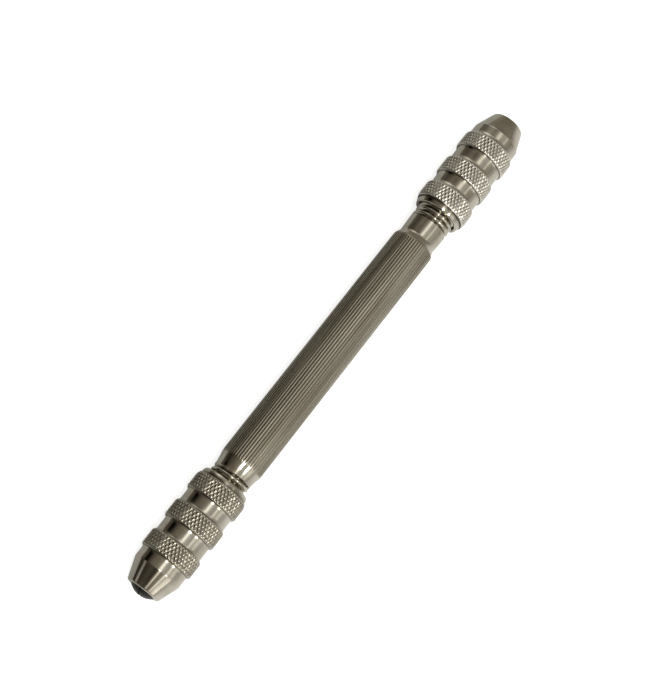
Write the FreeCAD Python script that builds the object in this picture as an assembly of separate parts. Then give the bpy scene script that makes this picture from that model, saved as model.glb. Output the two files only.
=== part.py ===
import FreeCAD, Part
import math
import os

# Double-ended pin vise: a fluted steel handle with a collet chuck at each end. Millimetres.
# The tool lies along X, with the middle of its handle at the origin and +Z up.
# Each shape is made for the +X end. The -X end is the same end turned half a turn about Z,
# which keeps both threads right-handed.
# Each nut is drawn at its tight place first, then unscrewed by the turns that it stands at.
# The handle's two ends differ a little: the left shoulder is longer, and its thread starts closer in.

# Handle
CREST_R = 3.84  # over the flutes
FLUTE_COUNT = 47
FLUTE_DEPTH = 0.16
SHOULDER_BULGE = 0.3  # how far a quarter of the shoulder has dropped, as a share of half its drop
NECK_END_R = 3.46  # where the thread starts
NECK_RISE = 0.2  # length of the slope up to the thread's crest
STUB_END = 37.4  # end face of the threaded stub
STUB_CHAMFER = 0.5

# Thread, on the stub and in the nut
PITCH = 1.0
THREAD_R = 3.50  # crest of the handle's thread
THREAD_DEPTH = 0.57
CREST_FLAT = PITCH / 8
FLANK_SLOPE = math.tan(math.radians(30))  # half the 60 degree form
THREAD_START = 26.0  # at the left end
CREST_CLEARANCE = 0.06
FLANK_CLEARANCE = 0.09  # along the axis, each side
NUT_MINOR_R = 3.04
CUTTER_OVERLAP = 0.05  # how far a thread cutter stands out of the surface that it cuts
CUT_PAST = 1.0  # how far a cutting shape runs past an end face

# Bore in the handle, for the collet's rear end
BORE_R = 2.55
PILOT_R = 1.75
PILOT_END = 14.0
DRILL_POINT = math.radians(59)
SEAT_DEPTH_PAST_COLLET = 0.45

# Nut, in distances back from the rim of its nose
NOSE_X = 49.0  # the rim when the nut is tight
NUT_LENGTH = 21.45
NOSE_HOLE_R = 2.32
RIM_R = 2.60
NOSE_ROUND = 0.40
NOSE_ROUND_MIDDLE = (0.27, 0.60)  # the round's middle, as shares of its length and of its height
CONE_END = 3.70
CONE_SLOPE = math.tan(math.radians(19.7))
LAND_R = 4.30
BAND_R = 4.75
BANDS = ((5.72, 8.88), (11.50, 14.80), (17.20, 20.45))
BAND_CHAMFER = 0.25
REAR_CHAMFER = 0.35
MOUTH_R = 3.75
COUNTERBORE_R = 3.60  # the nut's plain mouth, which passes over the end of the neck
COUNTERBORE_DEPTH = 1.7

# Collet
TIP_X = 49.86
COLLET_LENGTH = 24.0
SLEEVE_LENGTH = 4.0
SLEEVE_R = 2.50
JAW_R = 2.38
DOME_R = 3.43
DOME_EDGE_R = 2.27
SEAT_SLOPE = math.tan(math.radians(12))  # of the jaws, the nut's inner cone and the seat
SEAT_CLEARANCE = 0.10
GRIP_LENGTH = 5.0
COUNTERSINK = 0.12
SLIT = 0.45  # width of the slits while the jaws are relaxed
ROOT_GAP = 0.05
FLEX_R = 1.8  # radius of the line about which a jaw bends
FRONT_CLOSING_DEG = 0.9  # from relaxed to tight
REAR_CLOSING_DEG = 0.35

# Where each end stands
TRAVEL_TURNS = 7.0
ENDS = {
    "right": {"turns_out": 2.9, "front_grip_r": 1.00, "rear_grip_r": 1.50, "through_r": 1.65},
    "left": {"turns_out": 0.0, "front_grip_r": 0.40, "rear_grip_r": 0.70, "through_r": 1.25},
}
# where each shoulder begins, where it has come down to the neck, the neck's radius and where the
# thread begins
HANDLE_ENDS = {
    "right": {"shoulder": 23.3, "neck": 25.0, "neck_r": 3.34, "thread": THREAD_START + 2 * PITCH},
    "left": {"shoulder": 22.8, "neck": 25.8, "neck_r": 3.44, "thread": THREAD_START},
}

X_AXIS = FreeCAD.Vector(1, 0, 0)
Y_AXIS = FreeCAD.Vector(0, 1, 0)
Z_AXIS = FreeCAD.Vector(0, 0, 1)
CENTRE = FreeCAD.Vector(0, 0, 0)


def at(x, r):
    """A point of an outline, at a distance along the axis and a radius."""
    return FreeCAD.Vector(x, r, 0)


def lines(points):
    """Straight edges through (x, r) pairs."""
    ends = [at(*p) for p in points]
    return [Part.LineSegment(a, b).toShape() for a, b in zip(ends, ends[1:])]


def arc(start, middle, end):
    return Part.Arc(at(*start), at(*middle), at(*end)).toShape()


def turned(edges):
    """A solid of revolution about the X axis."""
    return Part.Face(Part.Wire(edges)).revolve(CENTRE, X_AXIS, 360)


def cylinder(r, x0, x1):
    return Part.makeCylinder(r, x1 - x0, at(x0, 0), X_AXIS)


def spun(shape, degrees, axis=X_AXIS, centre=CENTRE):
    """A copy turned about an axis."""
    copy = shape.copy()
    copy.rotate(centre, axis, degrees)
    return copy


def helix_cutter(start, end, outline):
    """A solid swept along the thread's helix. The outline is (offset along the axis, r) pairs."""
    helix = Part.makeHelix(PITCH, end - start, THREAD_R)
    corners = [FreeCAD.Vector(r, 0, offset) for offset, r in outline]
    profile = Part.makePolygon(corners + corners[:1])
    swept = Part.Wire(helix.Edges).makePipeShell([profile], True, True)
    swept.rotate(CENTRE, Y_AXIS, 90)
    # a quarter turn on, clear of the seams of the turned solids that it cuts
    swept.rotate(CENTRE, X_AXIS, 90)
    swept.translate(at(start, 0))
    return swept


def stub_groove(start):
    """What is cut from the stub to leave its thread."""
    top = (PITCH - CREST_FLAT) / 2 + CUTTER_OVERLAP * FLANK_SLOPE
    bottom = (PITCH - CREST_FLAT) / 2 - THREAD_DEPTH * FLANK_SLOPE
    outer, inner = THREAD_R + CUTTER_OVERLAP, THREAD_R - THREAD_DEPTH
    outline = ((-top, outer), (top, outer), (bottom, inner), (-bottom, inner))
    return helix_cutter(start, STUB_END + PITCH, outline)


def nut_groove():
    """What is cut from the nut's bore: the stub's thread with clearance all round."""
    inner, outer = NUT_MINOR_R - CUTTER_OVERLAP, THREAD_R + CREST_CLEARANCE
    half_width = CREST_FLAT / 2 + FLANK_CLEARANCE
    wide = half_width + (THREAD_R - inner) * FLANK_SLOPE
    narrow = half_width + (THREAD_R - outer) * FLANK_SLOPE
    outline = ((-wide, inner), (wide, inner), (narrow, outer), (-narrow, outer))
    # it takes the stub's ridge, half a pitch from the stub's groove
    return helix_cutter(THREAD_START + PITCH / 2, STUB_END + PITCH, outline)


def fluted_bar(half_length):
    """A straight bar whose section is a ring of rounded ridges."""
    step = 2 * math.pi / FLUTE_COUNT
    root_r = CREST_R - FLUTE_DEPTH
    edges = []
    for i in range(FLUTE_COUNT):
        start, middle, end = (
            FreeCAD.Vector(-half_length, r * math.cos(a), r * math.sin(a))
            for r, a in ((root_r, i * step), (CREST_R, (i + 0.5) * step), (root_r, (i + 1) * step))
        )
        edges.append(Part.Arc(start, middle, end).toShape())
    return Part.Face(Part.Wire(edges)).extrude(X_AXIS * 2 * half_length)


def half_envelope(shoulder, neck, neck_r):
    """One half of the handle's fluted part, with its rounded shoulder."""
    drop = (CREST_R - neck_r) / 2
    middle_x = (shoulder + neck) / 2
    convex = ((shoulder + middle_x) / 2, CREST_R - SHOULDER_BULGE * drop)
    concave = ((neck + middle_x) / 2, neck_r + SHOULDER_BULGE * drop)
    halfway = (middle_x, CREST_R - drop)
    curve = [
        arc((shoulder, CREST_R), convex, halfway),
        arc(halfway, concave, (neck, neck_r)),
    ]
    ends = lines([(neck, neck_r), (neck, 0), (0, 0), (0, CREST_R), (shoulder, CREST_R)])
    return turned(curve + ends)


def stub(neck, neck_r, thread):
    """Neck and threaded stub."""
    groove_end = STUB_END + PITCH
    rod = cylinder(THREAD_R, neck, groove_end + 2 * PITCH).cut(stub_groove(thread))
    outside = THREAD_R + CUTTER_OVERLAP
    envelope = [
        (neck, 0),
        (neck, neck_r),
        (thread, NECK_END_R),
        (thread + NECK_RISE, outside),
        (STUB_END - STUB_CHAMFER, outside),
        (STUB_END, outside - STUB_CHAMFER),
        (STUB_END, 0),
        (neck, 0),
    ]
    return rod.common(turned(lines(envelope)))


def collet_bore():
    """The hole in one end of the handle: bore, conical seat and a drilled pilot."""
    rear_tip = TIP_X - COLLET_LENGTH
    dome_height = TIP_X - NOSE_X
    seat_r = DOME_EDGE_R + SEAT_CLEARANCE
    seat_x = rear_tip + dome_height
    seat_start = seat_x + (BORE_R - seat_r) / SEAT_SLOPE
    bottom = rear_tip - SEAT_DEPTH_PAST_COLLET
    bottom_r = seat_r - (seat_x - bottom) * SEAT_SLOPE
    outline = [
        (PILOT_END - PILOT_R / math.tan(DRILL_POINT), 0),
        (PILOT_END, PILOT_R),
        (bottom, PILOT_R),
        (bottom, bottom_r),
        (seat_start, BORE_R),
        (STUB_END + CUT_PAST, BORE_R),
        (STUB_END + CUT_PAST, 0),
        (PILOT_END - PILOT_R / math.tan(DRILL_POINT), 0),
    ]
    return turned(lines(outline))


def handle():
    """The fluted bar with a neck, a thread and a bore at each end."""
    envelopes, stubs = {}, {}
    for end, place in HANDLE_ENDS.items():
        envelopes[end] = half_envelope(place["shoulder"], place["neck"], place["neck_r"])
        stubs[end] = stub(place["neck"], place["neck_r"], place["thread"])
    envelope = envelopes["right"].fuse(spun(envelopes["left"], 180, Z_AXIS)).removeSplitter()
    body = fluted_bar(THREAD_START).common(envelope)
    bore = collet_bore()
    whole = body.fuse([stubs["right"], spun(stubs["left"], 180, Z_AXIS)])
    return whole.cut([bore, spun(bore, 180, Z_AXIS)])


def nut_outline():
    """Half section of the nut, from its nose back to its rear face and home through its bore."""

    def x(back):
        return NOSE_X - back

    round_end = (x(NOSE_ROUND), LAND_R - (CONE_END - NOSE_ROUND) * CONE_SLOPE)
    share_back, share_out = NOSE_ROUND_MIDDLE
    round_middle = (x(NOSE_ROUND * share_back), RIM_R + share_out * (round_end[1] - RIM_R))
    nose = [
        *lines([(x(0), NOSE_HOLE_R), (x(0), RIM_R)]),
        arc((x(0), RIM_R), round_middle, round_end),
    ]
    outside = [round_end, (x(CONE_END), LAND_R)]
    for front, rear in BANDS:
        outside += [
            (x(front), LAND_R),
            (x(front), BAND_R - BAND_CHAMFER),
            (x(front + BAND_CHAMFER), BAND_R),
            (x(rear - BAND_CHAMFER), BAND_R),
            (x(rear), BAND_R - BAND_CHAMFER),
            (x(rear), LAND_R),
        ]
    outside += [
        (x(NUT_LENGTH - REAR_CHAMFER), LAND_R),
        (x(NUT_LENGTH), LAND_R - REAR_CHAMFER),
    ]
    inside = [
        (x(NUT_LENGTH), MOUTH_R),
        (x(NUT_LENGTH - (MOUTH_R - NUT_MINOR_R)), NUT_MINOR_R),
        (x((NUT_MINOR_R - NOSE_HOLE_R) / SEAT_SLOPE), NUT_MINOR_R),
        (x(0), NOSE_HOLE_R),
    ]
    return nose + lines(outside + inside)


def counterbore():
    """What is cut from the nut's mouth, with a bevelled end."""
    rear = NOSE_X - NUT_LENGTH
    end = rear + COUNTERBORE_DEPTH
    bevel = COUNTERBORE_R - NUT_MINOR_R + CUTTER_OVERLAP
    outline = [
        (rear - CUT_PAST, 0),
        (rear - CUT_PAST, COUNTERBORE_R),
        (end, COUNTERBORE_R),
        (end + bevel, COUNTERBORE_R - bevel),
        (end + bevel, 0),
        (rear - CUT_PAST, 0),
    ]
    return turned(lines(outline))


def nut(turns_out):
    """The chuck nut, unscrewed from its tight place by some turns."""
    made = turned(nut_outline()).cut(nut_groove()).cut(counterbore())
    made.rotate(CENTRE, X_AXIS, turns_out * 360)
    made.translate(at(turns_out * PITCH, 0))
    return made


def sleeve(through_r):
    """The collet's uncut middle, which fits the handle's bore."""
    middle = TIP_X - COLLET_LENGTH / 2
    x0, x1 = middle - SLEEVE_LENGTH / 2, middle + SLEEVE_LENGTH / 2
    return cylinder(SLEEVE_R, x0, x1).cut(cylinder(through_r, x0 - CUT_PAST, x1 + CUT_PAST))


def jaw_ring(grip_r, through_r):
    """The four jaws of one end before they are slit: taper, domed tip, grip and relief."""
    root = TIP_X - COLLET_LENGTH / 2 + SLEEVE_LENGTH / 2 + ROOT_GAP
    centre_x = TIP_X - DOME_R

    def on_dome(r):
        return (centre_x + math.sqrt(DOME_R**2 - r**2), r)

    edge = on_dome(DOME_EDGE_R)
    mouth = on_dome(grip_r + COUNTERSINK)
    dome = arc(edge, on_dome((DOME_EDGE_R + mouth[1]) / 2), mouth)
    rest = [
        mouth,
        (mouth[0] - COUNTERSINK, grip_r),
        (TIP_X - GRIP_LENGTH, grip_r),
        (TIP_X - GRIP_LENGTH, through_r),
        (root, through_r),
        (root, JAW_R),
        (edge[0] - (JAW_R - DOME_EDGE_R) / SEAT_SLOPE, JAW_R),
        edge,
    ]
    return turned([dome] + lines(rest))


def jaws(grip_r, through_r, closing_deg, closed_share):
    """Four jaws. Their grip is parallel as drawn, and their slits narrow as the jaws close."""
    ring = jaw_ring(grip_r, through_r)
    root = TIP_X - COLLET_LENGTH / 2 + SLEEVE_LENGTH / 2
    reach = 2 * BAND_R
    corner = FreeCAD.Vector(root, SLIT / 2, SLIT / 2)
    quarter = Part.makeBox(reach + SLEEVE_LENGTH, reach, reach, corner)
    outward = FreeCAD.Vector(0, 1, 1).normalize()
    flex_line = FreeCAD.Vector(root, 0, 0) + outward * FLEX_R
    quarter.rotate(flex_line, X_AXIS.cross(outward), -closing_deg * closed_share)
    return [ring.common(spun(quarter, 90 * i)) for i in range(4)]


def collet(front_grip_r, rear_grip_r, through_r, turns_out):
    """The reversible collet of one end, as its sleeve and the four jaws at each of its ends."""
    closed_share = 1 - turns_out / TRAVEL_TURNS
    middle = at(TIP_X - COLLET_LENGTH / 2, 0)
    parts = {"collet_sleeve": sleeve(through_r)}
    front = jaws(front_grip_r, through_r, FRONT_CLOSING_DEG, closed_share)
    rear = jaws(rear_grip_r, through_r, REAR_CLOSING_DEG, closed_share)
    for i, (front_jaw, rear_jaw) in enumerate(zip(front, rear), 1):
        parts[f"front_jaw_{i}"] = front_jaw
        # the rear slits lie halfway between the front ones
        parts[f"rear_jaw_{i}"] = spun(spun(rear_jaw, 180, Z_AXIS, middle), 45)
    return parts


def build():
    """Every node's solid by name."""
    nodes = {"handle": handle()}
    for end, place in ENDS.items():
        sizes = {key: value for key, value in place.items() if key != "turns_out"}
        pieces = {"nut": nut(place["turns_out"]), **collet(turns_out=place["turns_out"], **sizes)}
        for name, solid in pieces.items():
            nodes[f"{end}_{name}"] = solid if end == "right" else spun(solid, 180, Z_AXIS)
    return nodes


os.makedirs("parts", exist_ok=True)
for node, shape in build().items():
    shape.exportStep(f"parts/{node}.step")
    print(node, len(shape.Solids), shape.isValid(), round(shape.Volume, 3))
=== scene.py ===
import bmesh
import bpy
import math
import numpy as np
from functools import partial
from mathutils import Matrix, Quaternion, Vector


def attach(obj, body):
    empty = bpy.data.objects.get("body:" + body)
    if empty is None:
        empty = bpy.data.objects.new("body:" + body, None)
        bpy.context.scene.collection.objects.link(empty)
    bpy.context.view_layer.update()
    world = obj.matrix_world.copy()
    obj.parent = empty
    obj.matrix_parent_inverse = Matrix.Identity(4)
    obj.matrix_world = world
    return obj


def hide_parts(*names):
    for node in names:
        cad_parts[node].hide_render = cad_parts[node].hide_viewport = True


# A double-ended pin vise of nickel-plated steel, lying on a pale table.
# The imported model's collets stay as they are. The handle and the two nuts are built again here,
# with their flutes, threads and knurling. Lengths are in millimetres until a mesh is made.

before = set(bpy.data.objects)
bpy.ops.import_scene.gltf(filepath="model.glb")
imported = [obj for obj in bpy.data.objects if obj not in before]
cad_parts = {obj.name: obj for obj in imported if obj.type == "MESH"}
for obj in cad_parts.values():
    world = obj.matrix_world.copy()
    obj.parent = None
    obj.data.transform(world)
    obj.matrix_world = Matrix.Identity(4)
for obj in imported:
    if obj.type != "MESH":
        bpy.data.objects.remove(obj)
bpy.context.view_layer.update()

MM = 0.001
TINY = 1e-6  # what is smaller is an error of rounding

# Thread, on the handle and in the nuts
PITCH = 1.0
THREAD_R = 3.50  # over the stub's crests
THREAD_DEPTH = 0.57
CREST_FLAT = 0.40  # width of a crest
CREST_ROUND = 0.12  # how worn the crests' edges are
THREAD_START = 26.0  # at the left end
CREST_CLEARANCE = 0.06
FLANK_CLEARANCE = 0.09  # along the axis, each side
NUT_MINOR_R = 3.04
NUT_THREAD_PAST = 2 * PITCH  # how far the nut's bore goes on, past the stub's end
FLANK_SLOPE = math.tan(math.radians(30))
THREAD_STEP = PITCH / 16  # between the rings of the stub's mesh
NUT_THREAD_STEP = PITCH / 8

# Handle, in distances from its middle
CREST_R = 3.84
FLUTE_COUNT = 47
FLUTE_DEPTH = 0.10
FLUTE_END = 0.3  # where the flutes have run out, as a share of the shoulder
FLUTE_UNEVENNESS = 0.010  # how much the crests differ in height
RUN_OUT = 0.02  # how softly the flutes run out on the shoulder
NECK_END_R = 3.46
NECK_RISE = 0.2
STUB_END = 37.4
STUB_CHAMFER = 0.5
BORE_R = 2.55
BORE_CHAMFER = 0.1
SEAT_START = 27.36
SEAT_END = 25.41
SEAT_END_R = 2.13
PILOT_R = 1.75
PILOT_END = 14.0
PILOT_TIP = 12.95

# Rings of the handle's mesh: where the second one is, how many there are on each stretch, how far
# before the shoulder they come closer, and the gap between two stretches
SECOND_RING = 2.0
STRAIGHT_RINGS, RUN_OUT_RINGS, SHOULDER_RINGS = 7, 12, 18
RUN_OUT_START = 0.4
RING_GAP = 0.1

# Nut, in distances back from the rim of its nose
NOSE_X = 49.0  # where that rim is when the nut is tight
NUT_LENGTH = 21.45
NOSE_HOLE_R = 2.32
NOSE_HOLE_LENGTH = 0.1  # the hole's straight part
NOSE_ROUND = 0.45
CONE_END = 3.70
CONE_ROUND = 0.6
CONE_SLOPE = math.tan(math.radians(19.7))
CORNER_REACH = 0.48  # the most of an edge that a rounded corner may take
LAND_R = 4.30
LAND_RISE = 0.09  # where it meets a band
LAND_RISE_LENGTH = 0.6
LAND_RISE_RINGS = (0, 0.1, 0.25, 0.45, 0.7, 1)  # as shares of that length
LAND_SHADE = 0.25  # width of the painted shade line beside a band, as a share of that length
BAND_R = 4.75
BAND_DROP = 0.25  # at the band's rounded edges
BAND_ROUND = 0.4  # length of a rounded edge
LAST_BAND_ROUND = 0.9  # of the last band's rear edge
BAND_EDGE_RINGS = 6
BANDS = ((5.72, 8.88), (11.50, 14.80), (17.20, 20.45))
REAR_LIP = ((21.0, 4.28), (21.35, 4.15), (NUT_LENGTH, 4.0))
MOUTH_R = 3.75
COUNTERBORE_R = 3.60
COUNTERBORE_DEPTH = 1.7
INNER_CONE_SLOPE = math.tan(math.radians(12))

# Diamond knurl
KNURL_STARTS = 44
KNURL_PITCH = 1.175  # along the axis
KNURL_DEPTH = 0.14
KNURL_TOP = 0.80  # where a diamond's flat top begins, as a share of the way from its grooves
KNURL_MARGIN = 0.08  # left plain at a band's edge
KNURL_FADE = 0.25  # length over which the grooves come to their depth
KNURL_DIVISIONS = 8  # of a diamond, by the mesh
EDGE_SHADE = 0.2  # width of the painted shade line along a band's edges

NUT_COLUMNS = KNURL_STARTS * KNURL_DIVISIONS
FLUTE_COLUMNS = FLUTE_COUNT * 8

# The two ends: turns that the nut is unscrewed, where the shoulder begins, where it has come down
# to the neck, the neck's radius, and where the thread begins
ENDS = {
    "right": {
        "side": 1,
        "turns_out": 2.9,
        "shoulder": 23.3,
        "neck": 25.0,
        "neck_r": 3.34,
        "thread": THREAD_START + 2 * PITCH,
    },
    "left": {
        "side": -1,
        "turns_out": 0.0,
        "shoulder": 22.8,
        "neck": 25.8,
        "neck_r": 3.44,
        "thread": THREAD_START,
    },
}


# Meshes

def rounded(points, steps=5):
    """An outline of (x, r, corner radius) with its corners rounded, as (x, r) pairs."""
    places = [np.array(p[:2], float) for p in points]
    result = [places[0]]
    for before, here, after, point in zip(places, places[1:], places[2:], points[1:]):
        back, ahead = before - here, after - here
        lengths = np.linalg.norm(back), np.linalg.norm(ahead)
        turn = math.pi - math.acos(np.clip(back @ ahead / (lengths[0] * lengths[1]), -1, 1))
        reach = min(point[2] * math.tan(turn / 2), CORNER_REACH * min(lengths))
        if reach < TINY:
            result.append(here)
            continue
        start, end = here + back / lengths[0] * reach, here + ahead / lengths[1] * reach
        for t in np.linspace(0, 1, steps):
            result.append((1 - t) ** 2 * start + 2 * t * (1 - t) * here + t**2 * end)
    return [tuple(p) for p in result + [places[-1]]]


class Skin:
    """A mesh of rings about the X axis, each joined to the one before it."""

    def __init__(self):
        self.points = []
        self.dirt_and_shade = []
        self.faces = []
        self.materials = []
        self.rings = []

    def ring(self, x, radii, dirt_and_shade):
        """Adds a ring of points and returns (number of its first point, how many it has)."""
        angles = np.arange(len(radii)) * (2 * math.pi / len(radii))
        first = len(self.points)
        self.points += [(x, r * math.cos(a), r * math.sin(a)) for r, a in zip(radii, angles)]
        self.dirt_and_shade += list(dirt_and_shade)
        self.rings.append((first, len(radii)))
        return self.rings[-1]

    def face(self, material, *corners):
        self.faces.append(corners)
        self.materials.append(material)

    def join(self, one, other, material, folds=None):
        """Fills between two rings, one of which may have half the other's points.

        Folds say for each square which of its diagonals splits it.
        """
        if one[1] > other[1]:
            one, other = other, one
        (a, n), (b, m) = one, other
        for i in range(n):
            j = (i + 1) % n
            if m == 2 * n:
                before, middle, after = b + 2 * i, b + 2 * i + 1, b + (2 * i + 2) % m
                self.face(material, before, middle, a + i)
                self.face(material, middle, after, a + j)
                self.face(material, middle, a + j, a + i)
            elif folds is None:
                self.face(material, a + i, a + j, b + j, b + i)
            elif folds[i]:
                self.face(material, a + i, a + j, b + j)
                self.face(material, a + i, b + j, b + i)
            else:
                self.face(material, a + i, a + j, b + i)
                self.face(material, a + j, b + j, b + i)

    def outline(self, points, columns, material):
        """Plain rings along an outline of (x, r) pairs, or of (x, r, darkening by dirt and painted shade)."""
        for x, r, *dirt_and_shade in points:
            last = self.rings[-1] if self.rings else None
            new = self.ring(x, np.full(columns, r), np.full(columns, dirt_and_shade[0] if dirt_and_shade else 0.0))
            if last:
                self.join(last, new, material)

    def relief(self, stations, surface, columns, material):
        """Rings whose radius and darkening (dirt and painted shade) are a function of place and turn, with
        squares folded to follow it.
        """
        turns = np.arange(columns) / columns
        place_before, radii_before = None, None
        for x in stations:
            last = self.rings[-1] if self.rings else None
            radii, dirt_and_shade = surface(x, turns)
            new = self.ring(x, radii, dirt_and_shade)
            if place_before is not None:
                centre = surface((place_before + x) / 2, turns + 0.5 / columns)[0]
                straight = (radii_before + np.roll(radii, -1)) / 2
                crossed = (np.roll(radii_before, -1) + radii) / 2
                self.join(last, new, material, abs(centre - straight) <= abs(centre - crossed))
            elif last:
                self.join(last, new, material)
            place_before, radii_before = x, radii

    def tip(self, x, material):
        """Closes the last ring with a cone whose tip is on the axis."""
        a, n = self.rings[-1]
        self.points.append((x, 0, 0))
        self.dirt_and_shade.append(0.0)
        for i in range(n):
            self.face(material, a + i, a + (i + 1) % n, len(self.points) - 1)

    def piece(self, name, materials, turned=0.0, moved=0.0, side=1):
        """Makes the object: turned about the axis, moved along it, then put at its end of the tool."""
        points = np.array(self.points)
        c, s = math.cos(turned), math.sin(turned)
        y = points[:, 1] * c - points[:, 2] * s
        z = points[:, 1] * s + points[:, 2] * c
        placed = np.stack([(points[:, 0] + moved) * side, y * side, z], axis=1) * MM
        data = bpy.data.meshes.new(name)
        data.from_pydata(placed.tolist(), [], self.faces)
        for material in materials:
            data.materials.append(material)
        data.polygons.foreach_set("material_index", self.materials)
        # per point darkening: dirt, and painted shade in the grooves and beside the bands
        data.attributes.new("dirt_and_shade", "FLOAT", "POINT").data.foreach_set("value", self.dirt_and_shade)
        shell = bmesh.new()
        shell.from_mesh(data)
        bmesh.ops.recalc_face_normals(shell, faces=shell.faces)
        shell.to_mesh(data)
        shell.free()
        data.shade_smooth()
        data.set_sharp_from_angle(angle=math.radians(30))
        made = bpy.data.objects.new(name, data)
        bpy.context.scene.collection.objects.link(made)
        return made


def groove_offset(x, turns, start, last_turn):
    """Distance along the axis from the nearest turn of a helical groove."""
    along = (x - start) / PITCH - turns
    return (along - np.clip(np.round(along), 0, last_turn)) * PITCH


def stub_surface(x, turns, start):
    """Radius and darkening of the threaded stub, with its sloping start and its chamfered end; the darkening
    at the thread's root is dirt and painted shade.
    """
    past_crest = (PITCH - CREST_FLAT) / 2 - abs(groove_offset(x, turns, start, math.inf))
    worn_edge = (past_crest + np.hypot(past_crest, CREST_ROUND)) / 2
    cut = np.clip(worn_edge / FLANK_SLOPE, 0, THREAD_DEPTH)
    envelope = np.interp(
        x,
        [start, start + NECK_RISE, STUB_END - STUB_CHAMFER, STUB_END],
        [NECK_END_R, THREAD_R, THREAD_R, THREAD_R - STUB_CHAMFER],
    )
    # the second value darkens the thread's root: dirt and painted shade
    return np.minimum(THREAD_R - cut, envelope), np.clip(2 * cut / THREAD_DEPTH - 1, 0, 1)


def nut_thread_surface(x, turns):
    """The nut's own thread, which takes the stub's with clearance all round, past its counterbore."""
    last_turn = round(STUB_END - THREAD_START)
    offset = abs(groove_offset(x, turns, THREAD_START + PITCH / 2, last_turn))
    half_width = CREST_FLAT / 2 + FLANK_CLEARANCE
    thread = np.clip(THREAD_R + (half_width - offset) / FLANK_SLOPE, NUT_MINOR_R, THREAD_R + CREST_CLEARANCE)
    bevel = COUNTERBORE_R - (x - (NOSE_X - NUT_LENGTH + COUNTERBORE_DEPTH))
    return np.maximum(thread, bevel), np.zeros(len(turns))


def knurl_surface(x, turns, front, rear, rear_round):
    """A band's diamonds, cut by two crossing families of grooves that fade out at its rounded edges."""
    along = (x - (front + rear) / 2) / KNURL_PITCH
    families = [KNURL_STARTS * turns + along, KNURL_STARTS * turns - along]
    climb = 2 * np.minimum(*[abs(f - np.round(f)) for f in families])
    inset = min(front - x, x - rear)
    fade = min(max((inset - KNURL_MARGIN) / KNURL_FADE, 0), 1)
    depth = (1 - np.minimum(climb / KNURL_TOP, 1)) * fade
    rise = min((front - x) / BAND_ROUND, (x - rear) / rear_round, 1)
    radii = BAND_R - KNURL_DEPTH * depth - BAND_DROP * (1 - rise) ** 2
    # the second value darkens the grooves with dirt and painted shade, and a line along the band's edges with
    # painted shade
    return radii, np.maximum(depth**2, 1 - inset / EDGE_SHADE)


def knurled_stations(front, rear):
    """Places along a band that the diamonds' corners fall on, and closer ones at its rounded edges."""
    half = (front - rear) / 2
    step = KNURL_PITCH / KNURL_DIVISIONS
    count = int((half - BAND_ROUND) / step)
    inner = rear + half - step * np.arange(-count, count + 1)
    insets = np.linspace(0, half - (count + 1) * step, BAND_EDGE_RINGS)
    return [*(front - insets), *inner, *(rear + insets[::-1])]


def land_outline(front, rear):
    """A plain land between two bands, as (back, r, painted shade). It rises a little where it meets them, and
    is darkened with painted shade beside them.
    """
    near_end = LAND_RISE_LENGTH * np.array(LAND_RISE_RINGS)
    places = [*(front + near_end), *(rear - near_end[::-1])]
    result = []
    for place in places:
        inset = min(place - front, rear - place) / LAND_RISE_LENGTH
        r = LAND_R + LAND_RISE * (1 - min(inset, 1)) ** 2
        result.append((place, r, max(1 - inset / LAND_SHADE, 0)))
    return result


def build_nut(end, materials):
    """The chuck nut: nose, cone, three knurled bands between plain lands, and a threaded bore."""
    plating, knurl, bore = range(3)
    skin = Skin()
    nose = rounded([
        (0, NOSE_HOLE_R, 0),
        (0, LAND_R - CONE_END * CONE_SLOPE, NOSE_ROUND),
        (CONE_END, LAND_R, CONE_ROUND),
        (BANDS[0][0] - LAND_RISE_LENGTH, LAND_R, 0),
    ])
    first_land = [p for p in land_outline(0, BANDS[0][0]) if p[0] > nose[-1][0] + TINY]
    before = nose + first_land
    rears = [rear for front, rear in BANDS]
    next_lands = [land_outline(rear, front) for rear, (front, _) in zip(rears, BANDS[1:])]
    # the corner behind the last band gets full painted shade
    lip = [(BANDS[-1][1], LAND_R, 1.0), *REAR_LIP]
    for (band_front, band_rear), after in zip(BANDS, [*next_lands, lip]):
        skin.outline([(NOSE_X - back, *rest) for back, *rest in before], NUT_COLUMNS, plating)
        edges = NOSE_X - band_front, NOSE_X - band_rear
        rear_round = LAST_BAND_ROUND if after is lip else BAND_ROUND
        skin.relief(
            knurled_stations(*edges),
            lambda x, turns: knurl_surface(x, turns, *edges, rear_round),
            NUT_COLUMNS,
            knurl,
        )
        before = after
    mouth = [
        (NUT_LENGTH, MOUTH_R),
        (NUT_LENGTH - (MOUTH_R - COUNTERBORE_R), COUNTERBORE_R),
    ]
    skin.outline([(NOSE_X - back, *rest) for back, *rest in before + mouth], NUT_COLUMNS, plating)
    skin.relief(
        np.arange(NOSE_X - NUT_LENGTH + COUNTERBORE_DEPTH, STUB_END + NUT_THREAD_PAST, NUT_THREAD_STEP),
        nut_thread_surface,
        NUT_COLUMNS // 2,
        bore,
    )
    taper = (NUT_MINOR_R - NOSE_HOLE_R) / INNER_CONE_SLOPE
    inner_cone = [(NOSE_X - taper, NUT_MINOR_R), (NOSE_X - NOSE_HOLE_LENGTH, NOSE_HOLE_R)]
    skin.outline(inner_cone, NUT_COLUMNS // 2, bore)
    skin.join(skin.rings[-1], skin.rings[0], bore)
    turns_out = ENDS[end]["turns_out"]
    nut = skin.piece(
        f"{end}_nut_knurled", materials, turns_out * 2 * math.pi, turns_out * PITCH, ENDS[end]["side"]
    )
    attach(nut, f"{end}_nut")
    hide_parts(f"{end}_nut")
    return nut


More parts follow.
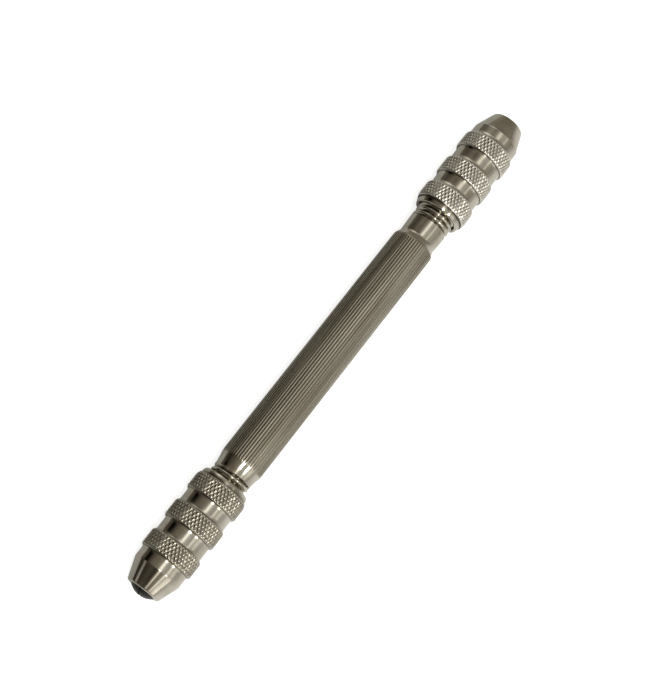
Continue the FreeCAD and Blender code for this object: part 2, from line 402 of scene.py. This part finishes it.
def flute_surface(x, turns, crests, place):
    """The ring of reeds, which run out on the rounded shoulder of one end."""
    along = turns * FLUTE_COUNT
    reed = np.floor(along + TINY).astype(int)
    across = 2 * (along - reed) - 1
    reeds = CREST_R - crests[reed % FLUTE_COUNT] * (1 - across**2) - FLUTE_DEPTH * across**2
    share = np.clip((abs(x) - place["shoulder"]) / (place["neck"] - place["shoulder"]), 0, 1)
    neck_r = place["neck_r"]
    shoulder = neck_r + (CREST_R - neck_r) * (0.5 + 0.5 * math.cos(math.pi * share))
    above = (shoulder - reeds) / RUN_OUT
    # the second value darkens the grooves between the reeds: dirt and painted shade
    return reeds - RUN_OUT * np.log1p(np.exp(-above)), abs(across) ** 3 * np.clip(above / 4, 0, 1)


def build_handle(materials):
    """The fluted bar, with a neck, a threaded stub and a collet bore at each end."""
    flutes, neck, thread, bore = range(4)
    crests = np.random.default_rng(3).uniform(0, FLUTE_UNEVENNESS, FLUTE_COUNT)
    skin = Skin()
    columns = np.arange(FLUTE_COLUMNS) / FLUTE_COLUMNS
    middle = skin.ring(0, *flute_surface(0, columns, crests, ENDS["right"]))
    for place in ENDS.values():
        side, start = place["side"], place["thread"]
        skin.rings.append(middle)
        plain = place["shoulder"] + FLUTE_END * (place["neck"] - place["shoulder"])
        run_out_start = place["shoulder"] - RUN_OUT_START
        straight = np.linspace(SECOND_RING, run_out_start - RING_GAP, STRAIGHT_RINGS)
        run_out = np.linspace(run_out_start, plain, RUN_OUT_RINGS)
        shoulder = np.linspace(plain, place["neck"], SHOULDER_RINGS)[1:]
        for stations, material in (([*straight, *run_out], flutes), (shoulder, neck)):
            skin.relief(
                [side * x for x in stations],
                lambda x, turns: flute_surface(x, turns, crests, place),
                FLUTE_COLUMNS,
                material,
            )
        skin.outline([(side * (place["neck"] + RING_GAP), place["neck_r"])], FLUTE_COLUMNS, neck)
        skin.outline([(side * start, NECK_END_R)], FLUTE_COLUMNS // 2, neck)
        skin.relief(
            [side * x for x in np.linspace(start, STUB_END, round((STUB_END - start) / THREAD_STEP))],
            # at the left end the same thread is seen from its other side
            lambda x, turns: stub_surface(side * x, turns if side > 0 else 0.5 - turns, start),
            FLUTE_COLUMNS // 2,
            thread,
        )
        inside = [
            (STUB_END, BORE_R + BORE_CHAMFER),
            (STUB_END - BORE_CHAMFER, BORE_R),
            (SEAT_START, BORE_R),
            (SEAT_END, SEAT_END_R),
            (SEAT_END, PILOT_R),
            (PILOT_END, PILOT_R),
        ]
        skin.outline([(side * x, r) for x, r in inside], FLUTE_COLUMNS // 4, bore)
        skin.tip(side * PILOT_TIP, bore)
    handle = skin.piece("handle_fluted", materials)
    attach(handle, "handle")
    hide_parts("handle")
    return handle


# Materials

def add_node(tree, kind, inputs=None, **settings):
    """Adds a node whose inputs are plain values or other nodes' outputs."""
    made = tree.nodes.new(kind)
    for key, value in settings.items():
        setattr(made, key, value)
    for key, value in (inputs or {}).items():
        if isinstance(value, bpy.types.NodeSocket):
            tree.links.new(value, made.inputs[key])
        else:
            made.inputs[key].default_value = value
    return made


class Paint:
    """A material's nodes, made one after another."""

    def __init__(self, name, **sockets):
        self.material = bpy.data.materials.new(name)
        self.material.use_nodes = True
        self.tree = self.material.node_tree
        self.node = partial(add_node, self.tree)
        self.surface = self.tree.nodes["Principled BSDF"]
        for socket, value in sockets.items():
            self.surface.inputs[socket.replace("_", " ")].default_value = value
        self.coordinates = self.node("ShaderNodeTexCoord").outputs["Object"]

    def noise(self, scale, detail=3.0, stretch=(1, 1, 1)):
        """Noise with the given number of features to a metre, stretched by axis."""
        place = self.node("ShaderNodeMapping", {"Vector": self.coordinates, "Scale": stretch})
        made = self.node("ShaderNodeTexNoise", {"Vector": place.outputs[0], "Scale": scale, "Detail": detail})
        return made.outputs["Fac"]

    def spread(self, value, low, high, source=(0, 1)):
        """A value taken from one range to another."""
        made = self.node("ShaderNodeMapRange", {
            "Value": value,
            "From Min": source[0],
            "From Max": source[1],
            "To Min": low,
            "To Max": high,
        })
        return made.outputs["Result"]

    def mix(self, share, one, other):
        """A mix of two colours, each of them an output or three numbers."""
        pair = [c if isinstance(c, bpy.types.NodeSocket) else (*c, 1) for c in (one, other)]
        made = self.node("ShaderNodeMix", {0: share, 6: pair[0], 7: pair[1]}, data_type="RGBA")
        return made.outputs[2]

    def dirt_and_shade(self):
        """How much each point of the mesh is darkened by dirt and painted shade, from 0 to 1."""
        return self.node("ShaderNodeAttribute", attribute_name="dirt_and_shade").outputs["Fac"]

    def bump(self, height, strength, distance):
        made = self.node("ShaderNodeBump", {"Height": height, "Strength": strength, "Distance": distance})
        self.tree.links.new(made.outputs["Normal"], self.surface.inputs["Normal"])

    def drive(self, socket, value):
        self.tree.links.new(value, self.surface.inputs[socket])


NICKEL_DARK = (0.42, 0.385, 0.32)
NICKEL_LIGHT = (0.53, 0.50, 0.435)
WORN_DARK = (0.25, 0.225, 0.175)
WORN_LIGHT = (0.42, 0.39, 0.325)
# darker between the reeds: dirt and painted shade
FLUTE_DIRT_AND_SHADE = (0.16, 0.14, 0.105)
# the knurls' two tints of metal and the darker tint of their grooves, which is dirt and painted shade; the
# right nut's tints are lighter
KNURL_TINTS = {
    "right": ((0.62, 0.59, 0.54), (0.76, 0.74, 0.69), (0.42, 0.39, 0.335)),
    "left": ((0.39, 0.36, 0.305), (0.49, 0.46, 0.40), (0.26, 0.235, 0.185)),
}
# painted shade in the corners beside the bands
CORNER_SHADE = (0.10, 0.088, 0.065)
# darker at the thread's root: dirt and painted shade
THREAD_DIRT_AND_SHADE = (0.17, 0.15, 0.12)
BORE_TINTS = ((0.10, 0.09, 0.075), (0.20, 0.185, 0.155))
COLLET_TINTS = ((0.012, 0.012, 0.012), (0.040, 0.037, 0.034))
TABLE_TINTS = ((0.72, 0.74, 0.76), (0.76, 0.78, 0.80))


def metal(paint, patches, dark=NICKEL_DARK, light=NICKEL_LIGHT):
    """Bare plating, in patches of two tints."""
    return paint.mix(paint.spread(patches, 0, 1, (0.35, 0.65)), dark, light)


def plating():
    """Bright nickel over turned steel: faint rings from the lathe, cloudy patches, painted shade in the
    corners beside the bands.
    """
    paint = Paint("nickel_plating", Metallic=1.0)
    clouds = paint.noise(420, 4)
    rings = paint.noise(5200, 2, (1, 0.03, 0.03))
    # the plating's darker tint is painted shade in the corners beside the bands
    paint.drive("Base Color", paint.mix(paint.dirt_and_shade(), metal(paint, clouds), CORNER_SHADE))
    paint.drive("Roughness", paint.spread(clouds, 0.08, 0.13, (0.3, 0.7)))
    paint.bump(rings, 0.25, 0.000004)
    return paint.material


def knurled(end):
    """The same plating on the diamonds, its grooves darkened with dirt and painted shade and its band edges
    with painted shade.
    """
    paint = Paint(f"{end}_nickel_knurl", Metallic=1.0)
    dark, light, groove = KNURL_TINTS[end]
    clouds = paint.noise(900, 4)
    # the grooves' tint is dirt and painted shade, the band edges' tint painted shade
    paint.drive("Base Color", paint.mix(paint.dirt_and_shade(), metal(paint, clouds, dark, light), groove))
    paint.drive("Roughness", paint.spread(clouds, 0.22, 0.32, (0.3, 0.7)))
    paint.bump(paint.noise(9000, 2), 0.2, 0.000006)
    return paint.material


def fluted():
    """Drawn flutes in worn plating, darker between them with dirt and painted shade."""
    paint = Paint("nickel_flutes", Metallic=1.0)
    streaks = paint.noise(900, 4, (0.06, 1, 1))
    worn = metal(paint, streaks, WORN_DARK, WORN_LIGHT)
    # the grooves' darker tint is dirt and painted shade
    paint.drive("Base Color", paint.mix(paint.dirt_and_shade(), worn, FLUTE_DIRT_AND_SHADE))
    paint.drive("Roughness", paint.spread(streaks, 0.18, 0.30, (0.3, 0.7)))
    paint.bump(paint.noise(5000, 3, (0.2, 1, 1)), 0.25, 0.000008)
    return paint.material


def threaded():
    """Plated thread, darker at its root with dirt and painted shade."""
    paint = Paint("nickel_thread", Metallic=1.0)
    clouds = paint.noise(700, 3)
    # the root's darker tint is dirt and painted shade
    paint.drive("Base Color", paint.mix(paint.dirt_and_shade(), metal(paint, clouds), THREAD_DIRT_AND_SHADE))
    paint.drive("Roughness", paint.spread(clouds, 0.09, 0.15, (0.3, 0.7)))
    paint.bump(paint.noise(8000, 2), 0.15, 0.000004)
    return paint.material


def inside():
    """Bores, which the plating hardly reaches."""
    paint = Paint("oiled_bore", Metallic=1.0)
    clouds = paint.noise(600, 3)
    paint.drive("Base Color", paint.mix(clouds, *BORE_TINTS))
    paint.drive("Roughness", paint.spread(clouds, 0.35, 0.5))
    return paint.material


def collet_steel():
    """Hardened collet steel, near black."""
    paint = Paint("collet_steel", Metallic=1.0)
    clouds = paint.noise(1100, 4)
    paint.drive("Base Color", paint.mix(clouds, *COLLET_TINTS))
    paint.drive("Roughness", paint.spread(clouds, 0.25, 0.42))
    paint.bump(paint.noise(6000, 2), 0.2, 0.000004)
    return paint.material


# Surroundings

TABLE_SIZE = 8.0
TABLE_GLOW = 0.75  # as the camera sees it, of a light table
SHEET_GLOW = 0.40  # as the metal sees it, on the side towards the lamps
SHEET_EDGE = 0.035


def build_table():
    """A pale table whose glow the metal sees only in part."""
    bpy.ops.mesh.primitive_plane_add(size=TABLE_SIZE, location=(0, 0, -BAND_R * MM))
    table = bpy.context.object
    table.name = "table"
    paint = Paint("pale_table", Roughness=0.6)
    paint.drive("Base Color", paint.mix(paint.noise(30, 3), *TABLE_TINTS))
    paint.surface.inputs["Emission Color"].default_value = (1, 1, 1, 1)
    across = paint.node("ShaderNodeSeparateXYZ", {"Vector": paint.coordinates}).outputs["Y"]
    near_edge = paint.spread(across, 0.0, SHEET_GLOW, (-SHEET_EDGE, -SHEET_EDGE / 3))
    far_edge = paint.spread(across, 1.0, 0.0, (-SHEET_EDGE / 9, SHEET_EDGE / 9))
    sheet = paint.node("ShaderNodeMath", {0: near_edge, 1: far_edge}, operation="MULTIPLY").outputs[0]
    seen = paint.node("ShaderNodeLightPath").outputs["Is Camera Ray"]
    paint.drive("Emission Strength", paint.spread(seen, sheet, TABLE_GLOW))
    table.data.materials.append(paint.material)


# How bright the room is. For some sines of the angle to the right: (degrees from straight up towards
# the viewer, brightness), with two rows of ceiling lamps and a window.
ROOM = {
    -0.85: ((-90, 0.10), (0, 0.10), (60, 0.35), (90, 0.50)),
    -0.55: (
        (-90, 0.03), (-72, 0.04), (-62, 0.60), (-52, 0.04), (-20, 0.11), (5, 0.05), (14, 0.25),
        (21, 1.60), (29, 0.30), (45, 0.45), (52, 1.80), (60, 0.90), (76, 1.60), (94, 1.90),
    ),
    -0.20: (
        (-90, 0.12), (-65, 0.02), (-30, 0.15), (10, 0.40), (17, 4.50), (25, 0.60), (46, 0.60),
        (53, 4.00), (61, 0.80), (78, 1.20), (92, 0.90),
    ),
    0.10: (
        (-90, 0.15), (-74, 0.09), (-65, 0.00), (-54, 0.00), (-25, 0.23), (-10, 0.25), (8, 0.42),
        (17, 2.00), (28, 0.62), (45, 0.50), (53, 1.45), (61, 0.72), (77, 1.15), (88, 0.60),
    ),
    0.40: (
        (-90, 0.18), (-65, 0.10), (-50, 0.14), (-32, 0.24), (-15, 0.17), (0, 0.40), (15, 1.70),
        (27, 0.70), (44, 0.60), (52, 1.15), (61, 0.50), (90, 0.42),
    ),
    0.62: ((-90, 0.30), (-68, 0.50), (-42, 1.40), (-15, 0.60), (20, 0.50), (52, 0.45), (90, 0.36)),
    0.85: ((-90, 0.35), (-50, 0.25), (30, 0.28), (90, 0.36)),
}
LIGHT_TINT = np.array((1.0, 0.985, 0.91))
DIM_TINT = np.array((1.0, 0.90, 0.72))
DIM, LIT = 0.25, 0.60  # brightnesses up to which and from which those tints hold


def build_room():
    """The room that is seen in the metal."""
    world = bpy.data.worlds.new("room")
    world.use_nodes = True
    bpy.context.scene.world = world
    tree = world.node_tree
    node = partial(add_node, tree)

    direction = node("ShaderNodeTexCoord").outputs["Generated"]
    right, away, up = node("ShaderNodeSeparateXYZ", {0: direction}).outputs
    nearer = node("ShaderNodeMath", {0: away, 1: -1.0}, operation="MULTIPLY").outputs[0]
    lean = node("ShaderNodeMath", {0: nearer, 1: up}, operation="ARCTAN2").outputs[0]
    place = node("ShaderNodeMapRange", {0: lean, 1: -math.pi, 2: math.pi}).outputs[0]
    brightness, sine_before = None, None
    for sine, stops in ROOM.items():
        ramp = node("ShaderNodeValToRGB", {0: place})
        stop_list = ramp.color_ramp.elements
        while len(stop_list) < len(stops):
            stop_list.new(1.0)
        for stop, (degrees, level) in zip(stop_list, stops):
            stop.position = 0.5 + degrees / 360
            share = np.clip((level - DIM) / (LIT - DIM), 0, 1)
            stop.color = (*(level * (DIM_TINT + share * (LIGHT_TINT - DIM_TINT))), 1)
        if brightness is None:
            brightness = ramp.outputs[0]
        else:
            between = node(
                "ShaderNodeMapRange", {0: right, 1: sine_before, 2: sine}, interpolation_type="SMOOTHSTEP"
            ).outputs[0]
            mixed = node("ShaderNodeMix", {0: between, 6: brightness, 7: ramp.outputs[0]}, data_type="RGBA")
            brightness = mixed.outputs[2]
        sine_before = sine
    tree.links.new(brightness, tree.nodes["Background"].inputs["Color"])


LAMPS = {"overhead_lamp": (-0.22, -0.33, 0.91), "side_lamp": (-0.22, -0.78, 0.57)}  # directions
LAMP_DISTANCE = 0.9
LAMP_WIDTH, LAMP_HEIGHT = 0.10, 0.08
LAMP_RADIANCE = 40
LAMP_WHITE = (1.0, 0.98, 0.93)


def build_lamp(name, direction):
    """A rectangular light of a given brightness that faces the tool."""
    light = bpy.data.lights.new(name, "AREA")
    light.shape = "RECTANGLE"
    light.size, light.size_y = LAMP_WIDTH, LAMP_HEIGHT
    light.color = LAMP_WHITE
    light.energy = LAMP_RADIANCE * math.pi * LAMP_WIDTH * LAMP_HEIGHT
    lamp = bpy.data.objects.new(name, light)
    toward = Vector(direction).normalized()
    lamp.location = toward * LAMP_DISTANCE
    lamp.rotation_euler = toward.to_track_quat("Z", "Y").to_euler()
    bpy.context.scene.collection.objects.link(lamp)


CAMERA_PLACE = (-70.2, -52.0, 249.94)
CAMERA_AIM = (0, 0.755, 0.16)
CAMERA_ROLL = -0.36  # degrees
CAMERA_LENS = 82.8
SENSOR_WIDTH = 36


def build_camera():
    camera = bpy.data.objects.new("camera", bpy.data.cameras.new("camera"))
    camera.data.lens = CAMERA_LENS
    camera.data.sensor_width = SENSOR_WIDTH
    camera.data.clip_start = 0.01
    camera.location = Vector(CAMERA_PLACE) * MM
    aim = Vector(CAMERA_AIM) * MM
    upright = (camera.location - aim).to_track_quat("Z", "Y")
    camera.rotation_euler = (upright @ Quaternion((0, 0, 1), math.radians(CAMERA_ROLL))).to_euler()
    bpy.context.scene.collection.objects.link(camera)
    bpy.context.scene.camera = camera
    bpy.context.scene.view_settings.view_transform = "Standard"


def paint_collets(metal):
    """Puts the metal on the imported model's collets."""
    for name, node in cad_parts.items():
        if "collet" in name or "jaw" in name:
            for slot in node.material_slots:
                slot.material = metal


nickel, bore_metal = plating(), inside()
build_camera()
build_room()
for lamp_name, lamp_direction in LAMPS.items():
    build_lamp(lamp_name, lamp_direction)
build_table()
build_handle([fluted(), nickel, threaded(), bore_metal])
for end in ENDS:
    build_nut(end, [nickel, knurled(end), bore_metal])
paint_collets(collet_steel())
